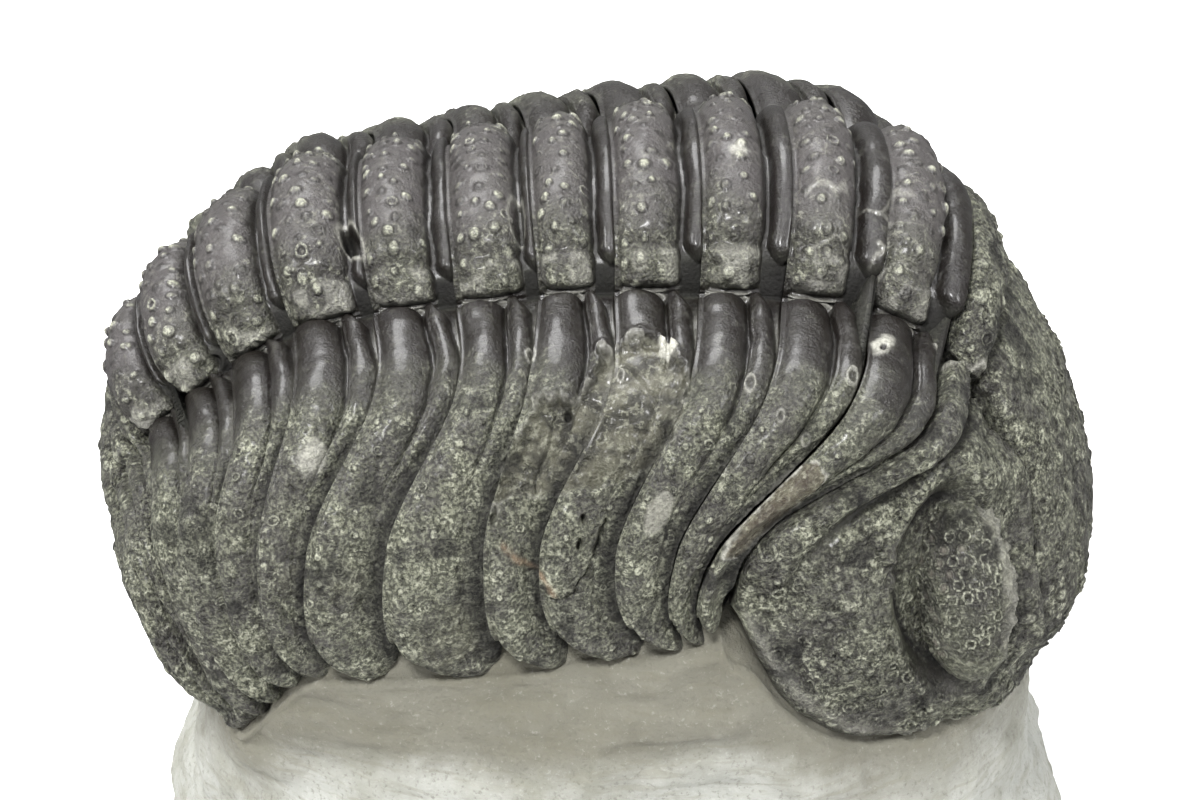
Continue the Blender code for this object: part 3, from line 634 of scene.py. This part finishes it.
def shield(name, s_line, columns, relief_of, spots, tubercle, node, material):
    """Head or tail shield: a grid over its part of the skin, closed by a plain back."""
    t_line = even_places(float(np.mean(s_line)), SKIN_WIDTH / columns)
    rows = [(s, 0.0, True) for s in s_line]
    rows += [(s_line[-1], -0.7, False), (s_line[-1], -SHELL, False)]
    rows += [(s, -SHELL, False) for s in np.linspace(s_line[-1], s_line[0], 9)[1:]]
    rows += [(s_line[0], -0.7, False), (s_line[0], 0.0, True)]
    s, drop, front, t = over_grid(rows, t_line)
    reach = np.abs(t)
    base = skin(s, t)
    normal = outward(s, t)
    px = seen_at(base + 0.5 * normal)
    wobble = 0.03 * grain(base, 2.6, 3) + 0.012 * grain(base, 0.9, 4)
    relief = relief_of(s + wobble, t) + 0.10 * grain(base, 3.0, 8) + 0.05 * grain(base, 1.1, 9)
    smooth = 0 * s
    dish, groove = 0 * s, 0 * s
    if node == "cephalon":
        smooth = bell(s, -0.70, 0.10) * (reach > T_FURROW) * (1 - ease(reach, 0.7, 0.85))
        ring = eye_share(base)
        behind = ease(EYE_MIDDLE[0] + 0.8 - base[:, 0], 0.0, 1.6)
        dish = 0.95 * (1 - ease(ring, 0.96, 1.32)) + 0.45 * (1 - ease(ring, 0.82, 1.0))
        dish = dish * behind - 0.75 * bell(ring, 1.10, 0.30) * (1 - behind) * (reach > T_FURROW)
        relief -= dish + 0.35 * bell(ring, 0.99, 0.07) * behind
        groove = bell(ring, 0.97, 0.09) * behind
        smooth = np.maximum(smooth, 0.8 * bell(ring, 1.08, 0.14) * behind)
    granular = np.clip(0.85 + 0.3 * grain(base, 2.5, 16) - smooth, 0, 1)
    lumps = rough(base, 1.7, 81)
    relief += 0.17 * lumps * granular
    knob = spots[0].height(base) * granular * front
    small = spots[-1].height(base) * granular * front
    relief += tubercle(s, t) * np.maximum(knob, 0.35 * small)
    knob = np.maximum(knob, 0.5 * small)
    lift, pale, infill, rust = marks(px, (t < 0.2) * front, base)[:4]
    relief += lift + 0.05 * rough(base, 0.40, 12, 2) * granular * front
    gap = np.abs(s - (0 if node == "cephalon" else RINGS))
    relief = relief - (relief + 0.1) * (1 - ease(gap, 0.01, 0.05))
    points = raised(base, normal, front, drop, relief, tip_round(reach, 0.03))
    if node == "cephalon":
        pale = pale + 0.30 * bell(reach, 0.965, 0.012) * ease(-s, 0.0, 0.3) * front
    # Painted shade: recesses, the groove round the eye and the low places between lumps get a darker
    # colour.
    painted_hollow_shade = np.clip(-(relief + dish) / 0.6, 0, 1) + 0.8 * groove
    painted_hollow_shade = np.clip(np.maximum(painted_hollow_shade, 0.75 * ease(-lumps, 0.35, 0.9)), 0, 1) * front
    shares = {"knob": knob, "pale": pale, "infill": infill, "rust": rust, "gloss": 0.5 * smooth,
              "granular": granular, "painted_hollow_shade": painted_hollow_shade, "sheen": 0 * s}
    piece = shape_grid(name, len(t_line), len(rows), points, shares)
    finish_piece(piece, material, "fossil_shell", node)


def eye(name, side, material):
    """A tall kidney-shaped eye with rows of round lenses, grown out of the cheek."""
    bpy.ops.object.select_all(action="DESELECT")
    bpy.ops.mesh.primitive_uv_sphere_add(segments=EYE_SEGMENTS, ring_count=EYE_BANDS, radius=1.0)
    piece = bpy.context.object
    piece.name = piece.data.name = name
    co = np.zeros(len(piece.data.vertices) * 3, np.float32)
    piece.data.vertices.foreach_get("co", co)
    ball = co.reshape(-1, 3).astype(float)
    local = ball * EYE_HALF
    local[:, 1] = np.sign(local[:, 1]) * np.abs(ball[:, 1]) ** 0.8 * EYE_HALF[1]
    normal = local / np.array(EYE_HALF) ** 2
    normal /= np.linalg.norm(normal, axis=1)[:, None]
    lenses = []
    for row in range(-8, 9):
        level = row * LENS_PITCH * 0.87
        for column in range(-4, 5):
            x = (column + 0.5 * (row % 2)) * LENS_PITCH
            inside = 1 - (x / EYE_HALF[0]) ** 2 - (level / EYE_HALF[2]) ** 2
            if inside > 0.04:
                lenses.append((x, -inside ** 0.4 * EYE_HALF[1], level))
        half = EYE_HALF[0] * math.sqrt(max(1 - (level / EYE_HALF[2]) ** 2, 0))
        for out in (0.05, 0.65, 1.25):
            out += 0.3 * (row % 2)
            lenses.append((-half * math.sqrt(1 - (out / EYE_HALF[1]) ** 2.5), -out, level))
    shift = np.random.default_rng(78).uniform(-0.07, 0.07, (len(lenses), 3))
    lenses = [tuple(np.array(lens) + move) for lens, move in zip(lenses, shift)]
    tree = KDTree(len(lenses))
    for k, lens in enumerate(lenses):
        tree.insert(lens, k)
    tree.balance()
    warped = local + 0.06 * np.stack([grain(local, 0.5, 90 + k) for k in range(3)], 1)
    found = [tree.find(p)[1:] for p in warped]
    lens = np.array([f[0] for f in found])
    share = np.array([f[1] for f in found]) / LENS_RADIUS
    chance = np.random.default_rng(77).uniform(0, 1, (len(lenses), 2))
    ragged = grain(local, 1.2, 59)
    lens_part = ease(-ball[:, 1], -0.20, -0.05) * (1 - ease(ball[:, 0] + 0.2 * ragged, 0.35, 0.6))
    lens_part = lens_part * (0.45 + 0.55 * chance[lens, 0]) * ease(ball[:, 2], 0.92, 0.65)
    lens_part = lens_part * ease(ball[:, 2], -0.80, -0.60)
    knob = np.where(share < 1.5, bell(share, 0.85, 0.20) + 0.4 * bell(share, 0, 0.4), 0) * lens_part
    height = 0.20 * knob + 0.10 * rough(local, 0.9, 51) + 0.05 * rough(local, 0.3, 55, 2)
    height += 0.30 * rough(local, 0.6, 58) * ease(ball[:, 0] + 0.2 * ragged, 0.25, 0.6)
    local = local + normal * height[:, None]
    if side > 0:
        local[:, 1] *= -1
    turn_x, turn_z = math.radians(EYE_TURN_X * side * -1), math.radians(EYE_TURN_Z * side * -1)
    cx, sx, cz, sz = math.cos(turn_x), math.sin(turn_x), math.cos(turn_z), math.sin(turn_z)
    spin_x = np.array(((1, 0, 0), (0, cx, -sx), (0, sx, cx)))
    spin_z = np.array(((cz, -sz, 0), (sz, cz, 0), (0, 0, 1)))
    middle = np.array(EYE_MIDDLE) * (1, side, 1)
    points = local @ (spin_z @ spin_x).T + middle
    piece.data.vertices.foreach_set("co", placed(points).astype(np.float32).ravel())
    amber = bell(share, 0, 0.5) * (chance[lens, 1] > 0.75) * lens_part * (ball[:, 0] < 0.1)
    shares = {"knob": 1.05 * knob,
              "pale": 0.3 * ease(ball[:, 0] + 0.2 * ragged, 0.3, 0.7) + 0.5 * amber,
              "infill": 0.5 * ease(ball[:, 0] + 0.2 * ragged, 0.3, 0.6), "rust": 0.35 * amber,
              "gloss": 0.25 * ease(ball[:, 2], 0.35, 0.7), "granular": 0.45 + 0 * share,
              # Painted shade: the low places of the eye's rough surface get a darker colour.
              "painted_hollow_shade": 0.8 * ease(-rough(local, 0.9, 51), 0.2, 0.9), "sheen": 0 * share}
    write_shares(piece, shares)
    if side > 0:
        bpy.ops.object.mode_set(mode="EDIT")
        bpy.ops.mesh.select_all(action="SELECT")
        bpy.ops.mesh.normals_make_consistent(inside=False)
        bpy.ops.object.mode_set(mode="OBJECT")
    bpy.ops.object.shade_smooth()
    finish_piece(piece, material, "fossil_shell")


# The stone, in millimetres
BASE_LENGTH, BASE_WIDTH = 46.0, 38.6
WAIST_LENGTH, WAIST_WIDTH, WAIST_HEIGHT = 41.6, 35.6, 6.0
STONE_ROUGH = 0.7
STONE_COLUMNS, STONE_ROWS = 620, 118
STONE_SQUARENESS = 2.6  # 2 would be an ellipse seen from above
STONE_TOP = 22.4        # above this the shell's rim stands clear of the stone
STONE_LUMPS = ((2, 0.4, 0.11), (3, 2.1, -0.21), (5, 1.3, 0.33), (8, 4.0, -0.52))


def stone(material):
    """The limestone that the shell lies in, with its broken sides and sawn base."""
    heart = np.array(STONE_HEART) + (-MID_X, 0, BASE_DROP)
    rim_s = np.linspace(S_HEAD + 0.05, S_TAIL - 0.05, 900)
    rim = skin(rim_s, 1 + 0 * rim_s) + (-MID_X, 0, BASE_DROP)
    rim[:, 2] -= 2.8 * bell(rim_s, 0.0, 0.5)
    bearing = np.arctan2(rim[:, 1], rim[:, 0] - heart[0])
    order = np.argsort(bearing)
    angle = np.linspace(0, 2 * math.pi, STONE_COLUMNS)
    fold = np.abs((angle + math.pi) % (2 * math.pi) - math.pi)
    rim_x, rim_y, rim_z = (np.interp(fold, bearing[order], rim[order, c]) for c in range(3))
    reach = np.hypot(rim_x - heart[0], rim_y)
    rim_z = np.minimum(rim_z, STONE_TOP + 0.15 * (rim_z - STONE_TOP))
    rows = []
    for climb in (0.16, 0.45, 0.75, 0.95):
        rows.append((reach * 0.86 * math.sin(climb * math.pi / 2),
                     rim_z + 1.5 + (31 - rim_z) * math.cos(climb * math.pi / 2)))
    rows.append((reach - 0.9, rim_z + 1.0))
    rows.append((reach - 0.5, rim_z + 0.35))
    for f in np.linspace(0, 1, 6):
        rows.append((reach - 0.35 + 0.45 * f, rim_z + 0.05 - 0.45 * f ** 2))
    top = rim_z - 0.40
    across, deep = np.cos(angle), np.sin(angle)
    for f in np.linspace(0, 1, STONE_ROWS)[1:]:
        height = top * (1 - f)
        flare = ease(1 - height / WAIST_HEIGHT, 0.0, 1.0)
        length = WAIST_LENGTH + (BASE_LENGTH - WAIST_LENGTH) * flare
        width = WAIST_WIDTH + (BASE_WIDTH - WAIST_WIDTH) * flare
        body = ((np.abs(across) / length) ** STONE_SQUARENESS
                + (np.abs(deep) / width) ** STONE_SQUARENESS) ** (-1 / STONE_SQUARENESS) / 2
        lumps = sum(np.sin(turns * angle + phase + rise * height)
                    for turns, phase, rise in STONE_LUMPS) / len(STONE_LUMPS)
        share = ease((top - height) / 4.5, -0.25, 1.0)
        side = body + STONE_ROUGH * lumps
        rows.append((reach + 0.10 + (side - reach - 0.10) * share, height))
    radius = np.array([r[0] for r in rows])
    level = np.array([r[1] for r in rows])
    points = np.stack((heart[0] + radius * across, radius * deep, level), 2).reshape(-1, 3)
    below = np.repeat(np.arange(len(rows)), STONE_COLUMNS) / len(rows)
    free = ease(below, 0.05, 0.10) * ease(points[:, 2], 0.0, 0.5)
    out = np.stack((np.tile(across, len(rows)), np.tile(deep, len(rows)), 0 * below), 1)
    bumps = 0.34 * rough(points, 5.0, 61, 3) + 0.10 * rough(points, 0.9, 66, 3)
    ledges = 0.16 * np.tanh(4 * grain(points * (1, 1, 2.2), 3.2, 70))
    points = points + out * ((bumps + ledges) * free)[:, None]
    points[:, 2] = np.maximum(points[:, 2], 0.0)
    contact = np.clip(1 - (np.tile(top, len(rows)) - points[:, 2]) / 6.0, 0, 1)
    points = points - (-MID_X, 0, BASE_DROP)
    px = seen_at(points)
    # A browner, darker patch low on the -Y side below the ribs, placed by where the camera sees it:
    # part stain, part painted shade.
    brown = bell(px[:, 0], 560, 330) * bell(px[:, 1], 700, 85) * (points[:, 1] < 0)
    shares = {"contact": contact, "brown": brown}
    piece = shape_grid("matrix_stone", STONE_COLUMNS, len(rows), points, shares)
    finish_piece(piece, material, "matrix_limestone", "matrix")


class Amount:
    """A number that varies over a surface. Signs between amounts add Math nodes."""

    def __init__(self, finish, socket):
        self.finish = finish
        self.socket = socket

    def sum_of(self, operation, *terms):
        node = self.finish.node("ShaderNodeMath", {"operation": operation},
                                dict(enumerate(terms)))
        return Amount(self.finish, node.outputs[0])

    def __add__(self, other):
        return self.sum_of("ADD", self, other)

    def __sub__(self, other):
        return self.sum_of("SUBTRACT", self, other)

    def __rsub__(self, other):
        return self.sum_of("SUBTRACT", other, self)

    def __mul__(self, other):
        return self.sum_of("MULTIPLY", self, other)

    __radd__ = __add__
    __rmul__ = __mul__

    def at_most(self, other):
        return self.sum_of("MINIMUM", self, other)

    def at_least(self, other):
        return self.sum_of("MAXIMUM", self, other)

    def step(self, low, high):
        """0 where this is below low, 1 above high, smooth between."""
        node = self.finish.node("ShaderNodeMapRange", {"interpolation_type": "SMOOTHSTEP"},
                                {"Value": self, "From Min": low, "From Max": high})
        return Amount(self.finish, node.outputs[0])


class Finish:
    """One material's nodes."""

    def __init__(self, name):
        self.material = bpy.data.materials.new(name)
        self.material.use_nodes = True
        self.tree = self.material.node_tree
        self.shader = self.tree.nodes["Principled BSDF"]
        self.place = self.node("ShaderNodeTexCoord", {}, {}).outputs["Object"]

    def node(self, kind, settings, values):
        """A node with its settings made first, then its sockets' values or links."""
        made = self.tree.nodes.new(kind)
        for name, value in settings.items():
            setattr(made, name, value)
        for name, value in values.items():
            self.feed(made.inputs[name], value)
        return made

    def feed(self, socket, value):
        if isinstance(value, Amount):
            value = value.socket
        if isinstance(value, bpy.types.NodeSocket):
            self.tree.links.new(value, socket)
        else:
            socket.default_value = value

    def share(self, name):
        """One of the piece's own colour shares."""
        node = self.node("ShaderNodeAttribute", {"attribute_name": name}, {})
        return Amount(self, node.outputs["Fac"])

    def noise(self, size, detail=3.0, roughness=0.55, stretch=None, distortion=0.0):
        """Noise with lumps of about this size in millimetres."""
        place = self.place
        if stretch:
            place = self.node("ShaderNodeMapping", {}, {"Vector": place, "Scale": stretch}).outputs[0]
        node = self.node("ShaderNodeTexNoise", {}, {
            "Vector": place, "Scale": 1000.0 / size, "Detail": detail, "Roughness": roughness,
            "Distortion": distortion})
        return Amount(self, node.outputs["Fac"])

    def cells(self, size):
        """Distance from the nearest of scattered points about this far apart in millimetres."""
        node = self.node("ShaderNodeTexVoronoi", {"feature": "F1"},
                         {"Vector": self.place, "Scale": 1000.0 / size})
        return Amount(self, node.outputs["Distance"])

    def mix(self, share, low, high):
        """A colour between two colours."""
        node = self.node("ShaderNodeMix", {"data_type": "RGBA"}, {"Factor": share})
        self.feed(node.inputs[6], low)
        self.feed(node.inputs[7], high)
        return node.outputs[2]

    def bump(self, height, distance):
        """A normal roughened by height, which spans this distance in millimetres."""
        values = {"Height": height, "Distance": distance * MM, "Strength": 1.0}
        return self.node("ShaderNodeBump", {}, values).outputs[0]


def colour(red, green, blue):
    return (red, green, blue, 1.0)


def shell_finish():
    """Dark calcite shell: specked and dull where granular, glossy brown-black on inner ribs, with
    painted shade in its hollows and a painted sheen on the upper rings.
    """
    f = Finish("fossil_shell")
    knob, pale, infill = f.share("knob"), f.share("pale"), f.share("infill").at_most(1.0)
    rust, gloss, granular = f.share("rust").at_most(1.0), f.share("gloss"), f.share("granular")
    painted_hollow_shade, sheen = f.share("painted_hollow_shade"), f.share("sheen")
    large = f.noise(5.0, 4.0, 0.6)
    middle = f.noise(1.4, 5.0, 0.62)
    fine = f.noise(0.40, 5.0, 0.68)
    tiny = f.noise(0.17, 4.0, 0.65)
    grit = f.cells(0.17)
    patch = (large * 0.5 + middle * 0.5).step(0.40, 0.60)
    base = f.mix(patch, colour(0.038, 0.036, 0.033), colour(0.052, 0.054, 0.039))
    mottle = tiny.step(0.45, 0.58) * (0.30 + patch * 0.60) * (0.06 + granular * 0.94)
    base = f.mix(mottle, base, colour(0.215, 0.220, 0.162))
    glossy = f.mix(middle.step(0.45, 0.62) * (0.2 + tiny), colour(0.0045, 0.0028, 0.0022),
                   colour(0.011, 0.009, 0.010))
    base = f.mix(gloss * 0.92, base, glossy)
    # Painted sheen: the upper part of each ring is painted a lighter grey.
    base = f.mix(sheen * (0.35 + fine * 0.9), base, colour(0.056, 0.051, 0.051))
    flecks = fine.step(0.52, 0.60) * tiny.step(0.40, 0.52) * (0.10 + granular * 0.90)
    flecks = flecks * (0.15 + middle.step(0.44, 0.60) * 0.70)
    base = f.mix(flecks * 0.72, base, colour(0.430, 0.436, 0.340))
    base = f.mix(fine.step(0.46, 0.38) * granular * 0.80, base, colour(0.007, 0.006, 0.005))
    # Painted shade: a dark ring round the foot of each tubercle.
    base = f.mix(knob.step(0.05, 0.22) * knob.step(0.45, 0.28) * 0.6, base,
                 colour(0.008, 0.007, 0.006))
    top = knob.step(0.35, 0.90) * (0.22 + tiny.step(0.44, 0.56) * 0.60)
    base = f.mix(top, base, colour(0.330, 0.336, 0.262))
    filled = f.mix(middle.step(0.43, 0.56), colour(0.024, 0.023, 0.017),
                   colour(0.074, 0.071, 0.051))
    filled = f.mix(fine.step(0.52, 0.60) * 0.6, filled, colour(0.190, 0.190, 0.145))
    base = f.mix(infill * 0.85, base, filled)
    base = f.mix(rust * 0.6, base, colour(0.290, 0.190, 0.115))
    base = f.mix((pale * (tiny * 2.2 - 0.2)).at_least(0.0).at_most(1.0), base,
                 colour(0.360, 0.355, 0.310))
    # Painted shade: hollows are painted near black.
    base = f.mix(painted_hollow_shade * 0.9, base, colour(0.004, 0.0035, 0.003))
    f.feed(f.shader.inputs["Base Color"], base)
    rough_value = 0.16 + fine * 0.32 + infill * 0.10 + painted_hollow_shade * 0.45
    f.feed(f.shader.inputs["Roughness"], rough_value.at_least(0.2).at_most(0.9))
    f.shader.inputs["Specular IOR Level"].default_value = 0.34
    f.feed(f.shader.inputs["Coat Weight"], (gloss * 0.26 + 0.08 - painted_hollow_shade * 0.2).at_least(0.0))
    f.shader.inputs["Coat Roughness"].default_value = 0.20
    height = fine * (0.35 + granular * 1.30) + tiny * (0.32 + granular * 0.65)
    height = height - grit * (0.10 + granular * 0.45)
    f.feed(f.shader.inputs["Normal"], f.bump(height, 0.22))
    return f.material


def stone_finish():
    """Pale warm grey limestone, browner and darker where it meets the shell and low on its -Y side:
    part brown stain, part painted shade.
    """
    f = Finish("matrix_limestone")
    contact, brown = f.share("contact"), f.share("brown")
    large = f.noise(7.0, 4.0, 0.6)
    middle = f.noise(1.6, 5.0, 0.62)
    fine = f.noise(0.30, 4.0, 0.7)
    streaks = f.noise(1.0, 4.0, 0.6, (0.35, 0.35, 2.2), 0.4)
    base = f.mix(large.step(0.36, 0.60), colour(0.185, 0.186, 0.156), colour(0.280, 0.285, 0.260))
    base = f.mix(middle.step(0.42, 0.66) * 0.6, base, colour(0.300, 0.306, 0.284))
    base = f.mix(streaks.step(0.50, 0.66) * 0.5, base, colour(0.180, 0.176, 0.142))
    # Stain and painted shade: darker brown near the shell and in the patch below the ribs.
    stain_and_shade = (contact * 0.65 + brown * 1.1 + middle * 0.9 - 0.60).step(0.0, 0.9)
    base = f.mix(stain_and_shade * 0.85, base, colour(0.098, 0.092, 0.068))
    base = f.mix(fine.step(0.58, 0.70) * 0.16, base, colour(0.480, 0.485, 0.450))
    base = f.mix(fine.step(0.45, 0.34) * 0.50, base, colour(0.100, 0.094, 0.078))
    f.feed(f.shader.inputs["Base Color"], base)
    f.feed(f.shader.inputs["Roughness"], 0.78 + fine * 0.2)
    f.shader.inputs["Specular IOR Level"].default_value = 0.35
    height = fine * 0.9 + middle * 0.6
    f.feed(f.shader.inputs["Normal"], f.bump(height, 0.18))
    return f.material


# Suns: name, strength, angle across, tilt from overhead and turn about Z in degrees
SUNS = (("key", 4.8, 11, 38, -18), ("back", 3.0, 30, 40, 195), ("left", 2.4, 20, 56, -80),
        ("right", 2.3, 20, 56, 68))
SENSOR_WIDTH = 36.0     # of the camera, in millimetres
PICTURE_WIDTH = 1200.0  # in pixels


def add_light_and_floor():
    """A pale floor, soft suns from four sides, a wide lamp overhead and an even pale sky."""
    bpy.ops.object.select_all(action="DESELECT")
    bpy.ops.mesh.primitive_plane_add(size=6.0, location=(0, 0, -0.0002))
    floor = bpy.context.object
    floor.name = "floor"
    paint = Finish("pale_floor")
    paint.shader.inputs["Base Color"].default_value = colour(0.92, 0.92, 0.92)
    paint.shader.inputs["Roughness"].default_value = 0.9
    paint.shader.inputs["Specular IOR Level"].default_value = 0.1
    floor.data.materials.append(paint.material)
    floor.visible_glossy = False
    for name, energy, angle, tilt, turn in SUNS:
        bpy.ops.object.light_add(type="SUN")
        lamp = bpy.context.object
        lamp.name = name
        lamp.data.energy = energy
        lamp.data.angle = math.radians(angle)
        lamp.rotation_euler = (math.radians(tilt), 0, math.radians(turn))
    bpy.ops.object.light_add(type="AREA", location=(0, 0.02, 0.45))
    lamp = bpy.context.object
    lamp.name = "overhead"
    lamp.data.size = 0.7
    lamp.data.energy = 1.9
    world = bpy.data.worlds.new("studio")
    world.use_nodes = True
    world.node_tree.nodes["Background"].inputs["Color"].default_value = colour(1.0, 1.0, 1.0)
    world.node_tree.nodes["Background"].inputs["Strength"].default_value = 0.24
    bpy.context.scene.world = world
    bpy.context.scene.view_settings.view_transform = "Standard"


def add_camera():
    """The photograph's camera: a long lens a little above the fossil."""
    yaw, rise = math.radians(CAM_YAW), math.radians(CAM_ELEVATION)
    target = Vector(placed(np.array(CAM_TARGET)))
    back = Vector((-math.sin(yaw) * math.cos(rise), -math.cos(yaw) * math.cos(rise),
                   math.sin(rise)))
    bpy.ops.object.camera_add(location=target + back * CAM_DISTANCE * MM)
    camera = bpy.context.object
    camera.rotation_euler = (-back).to_track_quat("-Z", "Y").to_euler()
    camera.data.sensor_width = SENSOR_WIDTH
    camera.data.lens = SENSOR_WIDTH * CAM_FOCUS / PICTURE_WIDTH
    camera.data.clip_start = 0.01
    bpy.context.scene.camera = camera


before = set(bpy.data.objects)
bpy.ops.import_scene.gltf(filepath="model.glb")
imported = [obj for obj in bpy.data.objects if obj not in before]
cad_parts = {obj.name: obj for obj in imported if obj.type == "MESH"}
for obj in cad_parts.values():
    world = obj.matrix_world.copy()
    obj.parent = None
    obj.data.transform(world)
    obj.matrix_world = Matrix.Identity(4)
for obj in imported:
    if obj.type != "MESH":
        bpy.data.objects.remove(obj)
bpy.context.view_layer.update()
bpy.ops.object.select_all(action="DESELECT")
add_camera()
add_light_and_floor()

shell_material = shell_finish()
for ring_number in range(1, RINGS + 1):
    body_plate(ring_number, shell_material)
head_spots = (Spots(301, (-3.95, -0.04), (-0.985, 0.985), 0.78, (0.24, 0.46), 0.6),
              Spots(303, (-3.95, -0.04), (-0.985, 0.985), 0.60, (0.12, 0.22), 0.3))
shield("head_shield", np.linspace(-3.97, -0.012, 205), 430, head_relief, head_spots,
       lambda s, t: 0.26 - 0.05 * (np.abs(t) < T_FURROW), "cephalon",
       shell_material)
tail_spots = (Spots(302, (11.05, 12.95), (-0.98, 0.98), 0.80, (0.20, 0.36), 0.4),
              Spots(304, (11.05, 12.95), (-0.98, 0.98), 0.60, (0.12, 0.20), 0.2))
shield("tail_shield", np.linspace(12.96, 11.012, 120), 400, tail_relief, tail_spots,
       lambda s, t: 0.11 + 0 * s, "pygidium", shell_material)
eye("eye_right", -1, shell_material)
eye("eye_left", 1, shell_material)
stone(stone_finish())
